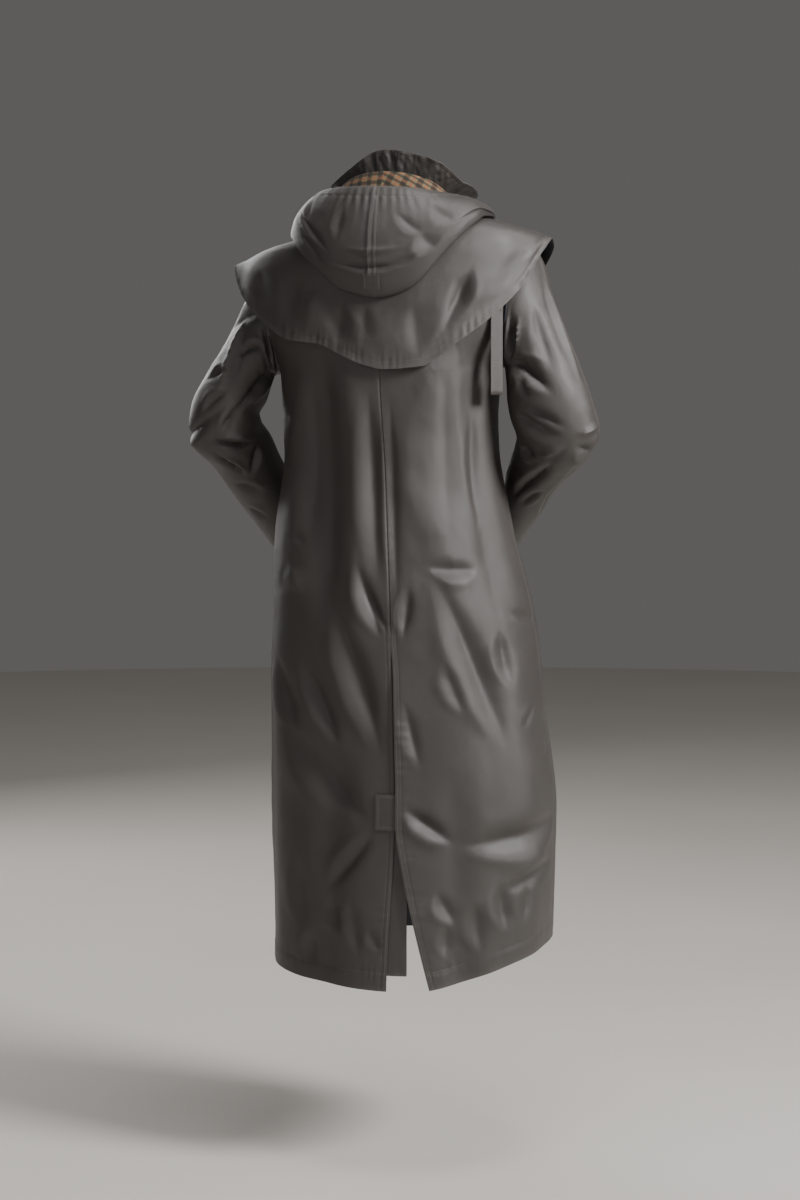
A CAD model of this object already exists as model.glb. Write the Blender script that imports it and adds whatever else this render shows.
"""The looks of a full-length caped raincoat: thin shells of coated cloth with their creases,
hems, puckered seams and stitching, a checked hood lining and press studs.

Shapes are worked out in millimetres and built in metres. +Z is up, the front faces -Y, +X is the
wearer's left, and angles run in degrees from the centre back toward the wearer's left.
"""

from __future__ import annotations

import logging
import math
from dataclasses import dataclass, field
from enum import Enum
from typing import Callable, Sequence

import bmesh
import bpy
import numpy as np
from mathutils import Matrix


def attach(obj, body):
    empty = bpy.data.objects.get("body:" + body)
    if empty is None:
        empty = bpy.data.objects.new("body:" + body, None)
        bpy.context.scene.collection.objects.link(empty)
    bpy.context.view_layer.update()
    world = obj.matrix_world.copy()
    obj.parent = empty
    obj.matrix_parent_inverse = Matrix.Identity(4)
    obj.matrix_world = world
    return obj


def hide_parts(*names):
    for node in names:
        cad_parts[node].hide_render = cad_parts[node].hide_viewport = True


log = logging.getLogger("raincoat")
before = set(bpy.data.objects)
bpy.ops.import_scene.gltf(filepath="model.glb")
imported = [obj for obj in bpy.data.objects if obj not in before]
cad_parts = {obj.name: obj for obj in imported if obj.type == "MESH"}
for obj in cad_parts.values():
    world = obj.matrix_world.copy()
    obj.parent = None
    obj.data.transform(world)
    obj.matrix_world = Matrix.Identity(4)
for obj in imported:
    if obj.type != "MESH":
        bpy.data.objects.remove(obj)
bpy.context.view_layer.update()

MM = 0.001
Array = np.ndarray
Surface = Callable[[Array, Array], Array]
Relief = Callable[[Array, Array], Array]
CLOTH = 1.1
SHARP, EDGE_REACH = 50.0, 9.0


class Curves:
    """Monotone cubic curves through the named columns of a table."""

    def __init__(self, columns: str, rows: Sequence[Sequence[float]], key: str = "") -> None:
        """Reads the table.

        Args:
            columns: The column names, parted by blanks.
            rows: One row of numbers for each section.
            key: The column that the curves run along; without one, rows are 0, 1, 2 and so on.
        """
        names = columns.split()
        data = np.array(rows, dtype=float)
        self.keys = data[:, names.index(key)] if key else np.arange(len(data), dtype=float)
        self.span = np.diff(self.keys)
        steps = np.diff(data, axis=0) / self.span[:, None]
        product = steps[:-1] * steps[1:]
        total = np.where(product > 0, steps[:-1] + steps[1:], 1.0)
        middle = np.where(product > 0, 2 * product / total, 0.0)
        slopes = np.vstack([steps[:1], middle, steps[-1:]])
        self.values = {name: data[:, i] for i, name in enumerate(names)}
        self.slopes = {name: slopes[:, i] for i, name in enumerate(names)}

    def at(self, name: str, where: Array) -> Array:
        """The curve of one column: a cubic between two rows that keeps to their slopes.

        Args:
            name: The column.
            where: Places along the table.

        Returns:
            The values there.
        """
        inside = np.clip(where, self.keys[0], self.keys[-1])
        i = np.clip(np.searchsorted(self.keys, inside, side="right") - 1, 0, len(self.keys) - 2)
        span = self.span[i]
        t = (inside - self.keys[i]) / span
        rise = t * t * (3 - 2 * t)
        value, slope = self.values[name], self.slopes[name]
        pull = t * (1 - t) ** 2 * span * slope[i] + t * t * (t - 1) * span * slope[i + 1]
        return value[i] * (1 - rise) + value[i + 1] * rise + pull


def smooth(x: Array) -> Array:
    """A soft step from 0 to 1, 3t^2 - 2t^3."""
    t = np.clip(x, 0.0, 1.0)
    return t * t * (3 - 2 * t)


def bell(x: Array) -> Array:
    """A bell of height 1, exp(-x^2)."""
    return np.exp(-np.square(x))


def polar(angle: Array, reach: Array, z: Array) -> Array:
    """A point at a reach and height in the upright plane at an angle from the centre back."""
    turn = np.radians(angle)
    return np.stack(np.broadcast_arrays(reach * np.sin(turn), reach * np.cos(turn), z), axis=-1)


def section_point(curves: Curves, angle: Array, row: Array) -> Array:
    """A point of a level section: a superellipse in polar form, with its own size to each side.

    Args:
        curves: The table of sections.
        angle: Degrees from the centre back toward the wearer's left.
        row: The place among the sections.

    Returns:
        Points in millimetres. The height runs from the end's to the side's as the sine squared.
    """
    angle, row = np.broadcast_arrays(np.asarray(angle, float), np.asarray(row, float))
    turn = np.radians(angle)
    across, along = np.sin(turn), np.cos(turn)
    power = curves.at("square", row)
    half = np.where(across >= 0, curves.at("halfLeft", row), curves.at("halfRight", row))
    depth = np.where(along >= 0, curves.at("back", row), curves.at("front", row))
    reach = ((np.abs(across) / half) ** power + (np.abs(along) / depth) ** power) ** (-1 / power)
    side = np.where(across >= 0, curves.at("leftZ", row), curves.at("rightZ", row))
    end = np.where(along >= 0, curves.at("backZ", row), curves.at("frontZ", row))
    z = side * across**2 + end * along**2
    return np.stack([curves.at("centreX", row) + reach * across, reach * along, z], axis=-1)


def normals_of(surface: Surface, a: Array, b: Array, step_a: float, step_b: float) -> Array:
    """Unit normals: the cross product of the surface's course along each parameter.

    Args:
        surface: The surface.
        a: First parameter.
        b: Second parameter.
        step_a: Probe along the first; its sign picks the side.
        step_b: Probe along the second.

    Returns:
        Unit vectors.
    """
    along_a = surface(a + step_a, b) - surface(a - step_a, b)
    along_b = surface(a, b + step_b) - surface(a, b - step_b)
    normal = np.cross(along_a, along_b)
    return normal / np.maximum(np.linalg.norm(normal, axis=-1, keepdims=True), 1e-9)


def drift(p: Array, q: Array, size: float, seed: int) -> Array:
    """Smooth seeded relief between -1 and 1: lattice values blended by soft steps.

    Args:
        p: First coordinate in millimetres.
        q: Second coordinate in millimetres.
        size: Length of a lattice cell.
        seed: The seed.

    Returns:
        The relief.
    """
    lattice = np.random.default_rng(seed).uniform(-1, 1, (64, 64))
    x, y = p / size, q / size
    i, j = np.floor(x).astype(int), np.floor(y).astype(int)
    u, v = smooth(x - i), smooth(y - j)
    low = lattice[i % 64, j % 64] * (1 - u) + lattice[(i + 1) % 64, j % 64] * u
    high = lattice[i % 64, (j + 1) % 64] * (1 - u) + lattice[(i + 1) % 64, (j + 1) % 64] * u
    return low * (1 - v) + high * v


class Creases:
    """Creases placed by hand, as troughs between two points of a surface's own coordinates."""

    FADE, TIP, SHORT = 2.4, 0.45, 6
    BANK, BANK_OFF = 0.4, 2.1

    def __init__(self, unit_p: float, unit_q: float, keen: float, rows: Sequence[Sequence[float]]) -> None:
        """Reads the table.

        Args:
            unit_p: Millimetres per unit of the first coordinate.
            unit_q: Millimetres per unit of the second.
            keen: 0 for round troughs, up to 1 for sharp ones with straight flanks.
            rows: p0, q0, p1, q1, half width, depth and bow; a depth below 0 makes a ridge.
        """
        self.unit_p, self.unit_q, self.keen, self.rows = unit_p, unit_q, keen, rows

    def section(self, x: Array) -> Array:
        """A crease's section: a bell mixed with a tent, each 1 in the middle."""
        return (1 - self.keen) * bell(x) + self.keen * np.exp(1.6 * (0.2 - np.sqrt(x**2 + 0.04)))

    def relief(self, p: Array, q: Array) -> Array:
        """Height of all creases: troughs with a lower bank on one side.

        Each fades and narrows toward both ends. One shorter than six half widths is shallower, by
        the root of their ratio.

        Args:
            p: First coordinate.
            q: Second coordinate.

        Returns:
            Millimetres of relief.
        """
        total = np.zeros(np.broadcast(p, q).shape)
        for p0, q0, p1, q1, width, depth, bow in self.rows:
            run_p, run_q = (p1 - p0) * self.unit_p, (q1 - q0) * self.unit_q
            length = math.hypot(run_p, run_q)
            off_p, off_q = (p - p0) * self.unit_p, (q - q0) * self.unit_q
            share = (off_p * run_p + off_q * run_q) / length**2
            aside = (off_q * run_p - off_p * run_q) / length - bow * 4 * share * (1 - share)
            ends = smooth(share * self.FADE) * smooth((1 - share) * self.FADE)
            place = aside / (width * (self.TIP + (1 - self.TIP) * ends))
            shape = self.section(place) - self.BANK * self.section(place - self.BANK_OFF)
            total -= depth * min(1, length / (self.SHORT * width)) ** 0.5 * ends * shape
        return total


SECTION_COLUMNS = "backZ leftZ rightZ frontZ halfLeft halfRight back front centreX square"
BODY = Curves(SECTION_COLUMNS, (
    (-1263, -1248, -1208, -1238, 238, 217, 195, 185, -40, 2.1),
    (-1150, -1140, -1118, -1134, 240, 221, 193, 182, -40, 2.1),
    (-1000, -1000, -995, -1000, 242, 222, 186, 178, -40, 2.15),
    (-850, -850, -850, -850, 236, 210, 178, 172, -36, 2.2),
    (-700, -700, -700, -700, 225, 198, 167, 163, -30, 2.2),
    (-560, -560, -560, -560, 212, 173, 150, 150, -21, 2.2),
    (-430, -430, -430, -430, 190, 158, 139, 140, -14, 2.25),
    (-304, -310, -300, -304, 187, 163, 139, 134, -6, 2.3),
    (-212, -216, -196, -226, 218, 216, 131, 127, -2, 2.3),
    (-134, -128, -92, -176, 212, 211, 119, 113, 0, 2.2),
    (-66, -107, -71, -140, 143, 143, 99, 99, 0, 2.1),
    (-6, -62, -50, -112, 74, 74, 62, 80, 0, 2.0),
))
# Columns: angle of the middle, height, spread, top, foot, lean.
FOLDS = (
    (38, -11, 8, -240, -720, -2), (18, 5, 8, -260, -800, 1), (58, 5, 9, -420, -1000, 4),
    (-34, 5, 9, -260, -760, -2), (-56, -8, 8, -250, -700, -4), (30, -8, 9, -860, -1330, 6),
    (72, -7, 10, -760, -1330, 6), (-28, -6, 8, -900, -1330, -4), (-62, 7, 10, -640, -1330, -4),
    (112, -8, 10, -640, -1330, 4), (148, 6, 9, -560, -1330, 3), (-112, -8, 10, -640, -1330, -4),
    (-146, 6, 9, -520, -1330, -3), (100, -6, 9, -330, -620, 8), (-100, -6, 9, -330, -620, -8),
)
UNDERARM, SHOULDER, NECK = 7.0, 9.0, 11.0
ARMHOLE_BACK, ARMHOLE_FRONT = 22.0, 24.0
VENT_TOP, TAB_TOP, TAB_FOOT = -716.0, -956.0, -1011.0
VENT_LIFT = 4.6
DEGREE_MM, SIDE_DEGREE_MM, CAPE_HEM_DEGREE_MM = 2.9, 3.4, 3.6
RING_COLUMNS = "outX outY outZ inX inY inZ halfDepth"
LEFT_RINGS = Curves(RING_COLUMNS, (
    (212, 0, -128, 181, -3, -309, 75), (224, 2, -145, 190, 0, -308, 73),
    (236, 6, -174, 195, 4, -311, 69), (250, 10, -214, 198, 8, -318, 64),
    (272, 15, -258, 201, 12, -330, 60), (299, 20, -304, 207, 18, -350, 57),
    (325, 26, -352, 219, 22, -374, 56), (336, 16, -402, 217, 8, -396, 56),
    (310, -18, -441, 206, -14, -418, 52), (288, -56, -488, 195, -48, -457, 48),
    (267, -96, -531, 180, -86, -504, 45), (245, -132, -572, 164, -120, -550, 42),
    (232, -150, -596, 154, -138, -576, 41),
))
RIGHT_RINGS = Curves(RING_COLUMNS, (
    (211, 0, -92, 169, -3, -299, 75), (225, 2, -108, 180, 0, -298, 73),
    (238, 6, -138, 185, 4, -302, 70), (253, 9, -182, 187, 7, -310, 65),
    (274, 13, -232, 187, 10, -324, 62), (300, 18, -292, 187, 15, -346, 60),
    (322, 23, -350, 191, 18, -374, 58), (333, 12, -400, 200, 5, -402, 57),
    (306, -24, -438, 192, -20, -424, 53), (262, -74, -478, 174, -66, -454, 48),
    (226, -128, -520, 152, -119, -498, 45), (192, -176, -560, 116, -167, -542, 42),
    (176, -198, -580, 99, -189, -564, 41),
))
CAPE = Curves(SECTION_COLUMNS, (
    (-2, -57, -45, -107, 78, 78, 66, 84, 0, 2.0),
    (-60, -98, -63, -133, 148, 148, 108, 110, 0, 2.1),
    (-136, -119, -83, -178, 221, 220, 134, 130, 0, 2.2),
))
CAPE_HEM = Curves("angle reach z", (
    (-168, 176, -262), (-150, 182, -256), (-128, 204, -222), (-110, 232, -156), (-96, 254, -106),
    (-90, 254, -97), (-83, 247, -116), (-71, 226, -178), (-60, 203, -220), (-44, 178, -262),
    (-28, 162, -296), (-7, 151, -301), (8, 150, -293), (20, 152, -280), (35, 162, -262),
    (49, 185, -256), (64, 214, -226), (78, 246, -176), (90, 260, -134), (97, 257, -138),
    (110, 236, -172), (128, 206, -228), (150, 182, -258), (168, 176, -264),
), key="angle")
HOOD = Curves("angle seatReach seatZ foot rimReach rimZ belly", (
    (-113, 92, -58, 0.37, 165, -66, 3), (-90, 84, -34, 0.38, 150, -47, 5),
    (-72, 84, -20, 0.43, 143, -38, 9), (-58, 83, -11, 0.56, 138, -32, 15),
    (-42, 80, -4, 0.69, 134, -27, 22), (-21, 77, 2, 0.78, 129, -22, 27),
    (0, 76, 4, 0.795, 126, -20, 28), (21, 77, 2, 0.785, 127, -19, 27),
    (42, 80, -5, 0.685, 128, -22, 21), (60, 86, -18, 0.5, 124, -28, 13),
    (78, 88, -34, 0.36, 118, -37, 7), (96, 90, -46, 0.33, 116, -50, 5),
    (113, 90, -60, 0.34, 120, -66, 3),
), key="angle")
HOOD_REACH, HOOD_FOOT, HOOD_LIFT = 113.0, 0.45, 4.5
HOOD_SEAT, HOOD_SEAT_FADE = 0.1, 0.42
COLLAR = Curves("angle lean height", (
    (-150, 74, 84), (-122, 81, 96), (-90, 57, 63), (-60, 40, 68), (-30, 20, 53), (0, 12, 46),
    (30, 16, 48), (60, 28, 54), (90, 44, 62), (122, 58, 70), (150, 58, 70),
), key="angle")
COLLAR_STAND, COLLAR_GAP, COLLAR_INSET = 0.3, 0.3, 1.2


def fold_height(angle: Array, z: Array) -> Array:
    """Height of the coat's large folds: bells across the angle, faded at their two heights.

    Args:
        angle: Degrees from the centre back toward the wearer's left.
        z: Height in millimetres.

    Returns:
        Millimetres.
    """
    total = np.zeros(np.broadcast(angle, z).shape)
    for centre, height, spread, top, foot, lean in FOLDS:
        down = (top - z) / (top - foot)
        strength = smooth(down * 4) * smooth((1 - down) * 4)
        total += height * strength * bell((angle - centre - lean * down) / spread)
    return total


def vent_left(z: Array) -> Array:
    """Angle of the left vent edge, which parts a little below the tab."""
    return 3.2 * smooth((TAB_FOOT - z) / 260)


def vent_right(z: Array) -> Array:
    """Angle of the right vent edge, which swings away below the tab."""
    swing = np.clip((TAB_FOOT - z) / 252, 0, 1) ** 1.15
    return -0.9 * smooth((VENT_TOP - z) / 60) - 15.5 * swing


def body_point(angle: Array, row: Array) -> Array:
    """The coat's outer face: its level section, moved out by the height of the folds."""
    point = section_point(BODY, angle, row)
    return point + polar(angle, fold_height(angle, point[..., 2]), 0.0)


def right_back_point(angle: Array, row: Array) -> Array:
    """The right back's outer face, which stands 4.6 mm off along the vent edge.

    Args:
        angle: Degrees from the centre back toward the wearer's left.
        row: Place among the coat's sections.

    Returns:
        Points in millimetres.
    """
    point = body_point(angle, row)
    z = point[..., 2]
    lift = VENT_LIFT * smooth((VENT_TOP - z) / 120) * bell((angle - vent_right(z)) / 9)
    return point + polar(angle, lift, 0.0)


def side_edge(row: Array, opening: float) -> Array:
    """Angle of a panel's side edge, drawn in by the armhole's half circle between two rows."""
    share = np.clip((row - UNDERARM) / (SHOULDER - UNDERARM), 0, 1)
    return 90 - opening * 2 * np.sqrt(share * (1 - share))


def sleeve_seam(side: int, around: Array) -> tuple[Array, Array]:
    """Angle and row of the armhole seam, from the underarm up the back and down the front.

    Args:
        side: 1 on the wearer's left, -1 on the right.
        around: Share of the turn round the arm.

    Returns:
        Angles and rows.
    """
    turn = 2 * np.pi * around
    middle, kept = (UNDERARM + SHOULDER) / 2, 0.994
    opening = np.where(np.sin(turn) >= 0, ARMHOLE_BACK, ARMHOLE_FRONT)
    angle = side * (90 - kept * opening * np.sin(turn))
    return angle, middle - kept * (middle - UNDERARM) * np.cos(turn)


def sleeve_surface(side: int, rings: Curves) -> Surface:
    """The outer face of a sleeve: ellipses on its rings, led into the armhole over its first fifth.

    Args:
        side: 1 on the wearer's left, -1 on the right.
        rings: The table of rings.

    Returns:
        A surface of around and along, both from 0 to 1.
    """
    last = len(rings.keys) - 1

    def ends(row: Array) -> tuple[Array, Array]:
        """The rings' outer and inner points.

        Args:
            row: Place among the rings.

        Returns:
            Both sets of points.
        """
        names = ("outX", "outY", "outZ", "inX", "inY", "inZ")
        values = [rings.at(name, row) for name in names]
        return np.stack(values[:3], axis=-1), np.stack(values[3:], axis=-1)

    def ring_point(around: Array, row: Array) -> Array:
        """A point of the ring at a row.

        Args:
            around: Share of the turn round the arm.
            row: Place among the rings.

        Returns:
            Points in millimetres.
        """
        outer, inner = ends(row)
        middle, out = (outer + inner) / 2, (outer - inner) / 2
        course = sum(ends(row + 0.5)) - sum(ends(row - 0.5))
        back = np.cross(out, course)
        back /= np.linalg.norm(back, axis=-1, keepdims=True)
        turn = 2 * np.pi * around[..., None]
        depth = rings.at("halfDepth", row)[..., None]
        return (middle - out * np.cos(turn) + back * depth * np.sin(turn)) * (side, 1, 1)

    def surface(around: Array, along: Array) -> Array:
        """A point of the sleeve.

        Args:
            around: Share of the turn round the arm.
            along: Share of the way along the piece.

        Returns:
            Points in millimetres.
        """
        around, along = np.broadcast_arrays(np.asarray(around, float), np.asarray(along, float))
        share = np.clip(along, 0, 1)
        fade = (1 - smooth(share / 0.2))[..., None]
        start = ring_point(around, np.zeros_like(share))
        return ring_point(around, share * last) + (body_point(*sleeve_seam(side, around)) - start) * fade

    return surface


def cape_point(angle: Array, along: Array) -> Array:
    """The cape's face: at each angle a cubic through four stops over the shoulder, neck to hem.

    Args:
        angle: Degrees from the centre back toward the wearer's left.
        along: Share of the way along the piece.

    Returns:
        Points in millimetres.
    """
    angle, along = np.broadcast_arrays(np.asarray(angle, float), np.asarray(along, float))
    stops = [section_point(CAPE, angle, np.full(angle.shape, row)) for row in (0.0, 1.0, 2.0)]
    stops.append(polar(angle, CAPE_HEM.at("reach", angle), CAPE_HEM.at("z", angle)))
    line = np.stack([2 * stops[0] - stops[1], *stops, 2 * stops[3] - stops[2]])
    place = np.clip(along, 0, 1) * 3
    first = np.minimum(2, np.floor(place)).astype(int)
    before, start, end, after = (
        np.take_along_axis(line, (first + k)[None, ..., None], axis=0)[0] for k in range(4)
    )
    t = (place - first)[..., None]
    rise = t * t * (3 - 2 * t)
    pull = t * (1 - t) ** 2 * (end - before) / 2 - t * t * (1 - t) * (after - start) / 2
    return start * (1 - rise) + end * rise + pull


def cape_front_edge(along: Array) -> Array:
    """Angle at which the cape's front edge hangs 42 mm beside the centre front."""
    reach = np.linalg.norm(cape_point(np.full(np.shape(along), 168.0), along)[..., :2], axis=-1)
    return 180 - np.degrees(np.arcsin(42 / reach))


def hood_inner(angle: Array, down: Array) -> Array:
    """The hood's inner layer, which lies on the cape and rises off it to the seam.

    Args:
        angle: Degrees from the centre back toward the wearer's left.
        down: Share of the way down the inner layer.

    Returns:
        Points in millimetres.
    """
    def on_cape(place: Array) -> Array:
        """A point a little off the cape."""
        return cape_point(angle, place) + HOOD_LIFT * normals_of(cape_point, angle, place, 0.6, 0.01)

    place = HOOD_SEAT + (HOOD.at("foot", angle) - HOOD_SEAT) * down
    seat = polar(angle, HOOD.at("seatReach", angle), HOOD.at("seatZ", angle))
    rise = seat - on_cape(np.full(angle.shape, HOOD_SEAT))
    return on_cape(place) + rise * (1 - smooth(down / HOOD_SEAT_FADE))[..., None]


def hood_point(angle: Array, along: Array) -> Array:
    """The hood: down its inner layer, round the foot, and up a swelling outer layer to the rim.

    Args:
        angle: Degrees from the centre back toward the wearer's left.
        along: Share of the way along the piece.

    Returns:
        Points in millimetres.
    """
    angle, along = np.broadcast_arrays(np.asarray(angle, float), np.asarray(along, float))
    share = np.clip(along, 0, 1)
    inner = hood_inner(angle, np.minimum(share / HOOD_FOOT, 1.0))
    up = np.clip((share - HOOD_FOOT) / (1 - HOOD_FOOT), 0, 1)
    foot = hood_inner(angle, np.ones_like(share))
    chord = polar(angle, HOOD.at("rimReach", angle), HOOD.at("rimZ", angle)) - foot
    swell = np.cross(chord, polar(angle + 90, 1.0, 0.0))
    swell /= np.linalg.norm(swell, axis=-1, keepdims=True)
    fullness = HOOD.at("belly", angle) * np.sin(np.pi * up**0.85) ** 0.75
    outer = foot + chord * up[..., None] + swell * fullness[..., None]
    return np.where((share <= HOOD_FOOT)[..., None], inner, outer)


def collar_point(angle: Array, up: Array) -> Array:
    """The collar: it rises inside the neck seam, upright at first, then leans out.

    Args:
        angle: Degrees from the centre back toward the wearer's left.
        up: Share of the way up the collar.

    Returns:
        Points in millimetres.
    """
    angle, up = np.broadcast_arrays(np.asarray(angle, float), np.asarray(up, float))
    foot = section_point(BODY, angle, np.full(angle.shape, NECK))
    lean, height = np.radians(COLLAR.at("lean", angle)), COLLAR.at("height", angle)
    leaning = np.maximum(0, up - COLLAR_STAND) * height
    rise = np.minimum(up, COLLAR_STAND) * height + leaning * np.cos(lean) + COLLAR_GAP
    return foot + polar(angle, leaning * np.sin(lean) - COLLAR_INSET, rise)


def row_at(z: Array) -> Array:
    """The row at which the centre back has a height, by halving the span thirty times.

    Args:
        z: Height in millimetres.

    Returns:
        Rows.
    """
    low, high = np.zeros(np.shape(z)), np.full(np.shape(z), NECK)
    for _ in range(30):
        middle = (low + high) / 2
        below = BODY.at("backZ", middle) < z
        low, high = np.where(below, middle, low), np.where(below, high, middle)
    return (low + high) / 2


CAPE_LENGTH, CAPE_GIRTH, HOOD_LENGTH, HOOD_GIRTH = 330.0, 3.0, 420.0, 2.6
SLEEVE_LENGTH, SLEEVE_GIRTH, SLEEVE_RADIUS, WRIST_GIRTH = 620.0, 390.0, 62.0, 273.0
HEM_DEPTH, CAPE_HEM_DEPTH, CASING_DEPTH, CUFF_DEPTH = 27.0, 7.0, 24.0, 26.0
HEM_STEP, CAPE_HEM_STEP = 0.5, 0.4
UNDERARM_ROW_MM, CALM = 110.0, 28.0
# Columns: angle and height of one end, of the other, half width, depth (below 0 a ridge), bow.
BACK_CREASES = Creases(DEGREE_MM, 1, 0.4, (
    (45, -289, 46, -601, 19.5, 8.4, 0), (8, -318, 6, -643, 15.6, 6.3, 0),
    (-6, -327, -4, -675, 10.4, 4.2, 0), (-41, -289, -35, -601, 32.5, 10.5, 0),
    (-60, -350, -56, -557, 10.4, 4.2, 0), (56, -553, 48, -574, 6.5, 2.8, 0),
    (-21, -604, -52, -608, 10.4, 7.6, 3), (18, -594, 5, -718, 10.4, 7.6, 0),
    (57, -601, 50, -657, 11.7, -5.7, 0), (49, -744, 27, -888, 11.7, 9.5, -3),
    (31, -661, 6, -899, 15.6, 9.5, -5), (56, -846, 10, -1008, 19.5, 9.5, 6),
    (64, -744, 48, -873, 13, 7.6, 0), (9, -1015, 34, -1113, 10.4, 7.6, 0),
    (34, -1117, 26, -1181, 9.1, 5.7, 0), (12, -1165, 6, -1203, 6.5, 2.8, 0),
    (42, -1172, 42, -1243, 9.1, 4.7, 0), (50, -1056, 44, -1189, 11.7, 4.7, 0),
    (21, -1114, 16, -1216, 9.1, 3.8, 0), (14, -629, 1, -711, 5.2, 3.5, 0),
    (-26, -622, -54, -891, 16.9, 11.3, -6), (-26, -748, -35, -835, 9.1, 5.7, 0),
    (-12, -632, -6, -718, 9.1, 5.7, 0), (-76, -820, -61, -861, 5.2, 4.2, 0),
    (-85, -865, -84, -913, 5.2, 3.5, 0), (-56, -700, -58, -797, 10.4, 7.6, 0),
    (-61, -678, -97, -700, 7.8, 4.9, 0), (-4, -974, -29, -1032, 10.4, 9.5, 0),
    (-29, -1036, -90, -1005, 16.9, 11.3, 5), (-85, -1073, -50, -1110, 10.4, 7.6, 0),
    (-48, -1092, -52, -1177, 9.1, 5.7, 0), (-25, -1156, -24, -1212, 7.8, 3.5, 0),
    (-20, -1105, -29, -1160, 9.1, 5.7, 0), (-37, -1120, -40, -1206, 9.1, 4.7, 0),
    (-63, -1096, -60, -1166, 7.8, 3.5, 0), (-6, -808, -13, -917, 9.1, 4.7, 0),
))
FRONT_CREASES = Creases(DEGREE_MM, 1, 0.3, (
    (104, -330, 132, -470, 16.2, 3.45, 5), (96, -420, 120, -520, 14.4, 3.45, 0),
    (128, -300, 150, -430, 16.2, 2.875, 0), (150, -520, 146, -760, 18, 2.875, 0),
    (118, -600, 108, -820, 16.2, 3.45, 0), (132, -830, 142, -1060, 18, 2.875, 0),
    (102, -880, 112, -1120, 16.2, 3.45, 0), (150, -900, 122, -1010, 14.4, 2.875, 6),
    (128, -1100, 134, -1240, 16.2, 2.875, 0), (160, -1050, 156, -1230, 14.4, 2.3, 0),
    (-106, -340, -134, -450, 16.2, 3.45, -5), (-97, -430, -116, -560, 14.4, 3.45, 0),
    (-130, -310, -148, -470, 16.2, 2.875, 0), (-152, -560, -144, -790, 18, 2.875, 0),
    (-116, -640, -106, -840, 16.2, 3.45, 0), (-130, -850, -144, -1040, 18, 2.875, 0),
    (-103, -900, -114, -1110, 16.2, 3.45, 0), (-150, -880, -120, -980, 14.4, 2.875, -6),
    (-126, -1080, -134, -1230, 16.2, 2.875, 0), (-160, -1060, -158, -1220, 14.4, 2.3, 0),
))
# The other tables give both places as angle or turn, and as share of the way along the piece.
CAPE_CREASES = Creases(CAPE_GIRTH, CAPE_LENGTH, 0.3, (
    (20, 0.815, 24, 0.975, 19.2, 6, 0), (-53, 0.78, -38, 0.93, 9.6, 7.5, 4),
    (46, 0.73, 53, 0.94, 19.2, 4.5, 0), (37, 0.805, 42, 0.975, 19.2, -3.8, 0),
    (-6.5, 0.815, -7, 0.975, 38.4, -4.5, 0), (-23, 0.815, -26.5, 0.98, 17.3, 4.5, 0),
    (67.5, 0.755, 67, 0.95, 15.4, 3.8, 0), (-62.5, 0.805, -55, 0.95, 23, -5.2, 0),
    (-71, 0.79, -67, 0.96, 15.4, 4.5, 0), (-45, 0.79, -49.5, 0.925, 11.5, 3, 0),
    (6, 0.805, 7.5, 0.955, 13.4, 3, 0), (104, 0.5, 116, 0.94, 15.4, 4.5, 0),
    (128, 0.45, 138, 0.95, 17.3, 4.5, 0), (150, 0.5, 154, 0.96, 15.4, 3.8, 0),
    (-106, 0.5, -118, 0.94, 15.4, 4.5, 0), (-130, 0.45, -141, 0.95, 17.3, 4.5, 0),
    (-152, 0.5, -156, 0.96, 15.4, 3.8, 0),
))
HOOD_CREASES = Creases(HOOD_GIRTH, HOOD_LENGTH, 0.6, (
    (25.5, 0.573, -23, 0.585, 6.5, 4.55, -4), (17.5, 0.66, -19, 0.675, 6.5, -2.6, 0),
    (-37, 0.643, -106, 0.45, 5.2, 3.25, 0), (-25.5, 0.728, -35.5, 0.545, 10.4, 4.55, 0),
    (50.5, 0.748, 23.5, 0.618, 7.8, 3.25, 0), (-13, 0.86, -28.5, 0.703, 7.8, 2.6, 0),
    (19, 0.9, 20.5, 0.682, 6.5, 1.95, 0), (44, 0.618, 27, 0.542, 6.5, 3.25, 0),
    (-33.5, 0.883, -44.5, 0.623, 7.8, 2.6, 0), (-7.5, 0.598, -26, 0.608, 6.5, 2.6, 0),
    (45.5, 0.907, 42, 0.7, 6.5, 1.95, 0),
))
LEFT_SLEEVE_CREASES = Creases(SLEEVE_GIRTH, SLEEVE_LENGTH, 0.85, (
    (0.3, 0.363, 0.179, 0.177, 6.5, 8, 3), (0.05, 0.157, 0.163, 0.527, 9.1, 12.8, 0),
    (0.233, 0.55, 0.138, 0.473, 6.5, 8, 0), (0.304, 0.56, 0.058, 0.603, 6.5, 12.8, 0),
    (0.287, 0.58, 0.233, 0.7, 6.5, 9.6, 0), (0.079, 0.61, 0.217, 0.7, 6.5, 8, 0),
    (0.338, 0.517, 0.229, 0.45, 7.8, 6.4, 0), (0.467, 0.307, 0.283, 0.157, 10.4, 5.6, 0),
    (0.275, 0.167, 0.104, 0.187, 9.1, 6.4, 0), (0.329, 0.707, 0.183, 0.763, 7.8, 6.4, 0),
    (0.358, 0.787, 0.254, 0.833, 6.5, 4.8, 0), (0.404, 0.443, 0.279, 0.383, 7.8, 5.6, 0),
    (0.383, 0.22, 0.271, 0.49, 10.4, -7.2, 0), (0.033, 0.433, 0.95, 0.743, 7.8, 6.4, 0),
    (0.56, 0.36, 0.9, 0.44, 10.4, 8, 0), (0.58, 0.5, 0.92, 0.55, 9.1, 9.6, 0),
    (0.6, 0.6, 0.9, 0.68, 9.1, 8, 0), (0.62, 0.75, 0.86, 0.8, 9.1, 6.4, 0),
    (0.7, 0.2, 0.64, 0.4, 13, 6.4, 0),
))
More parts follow.
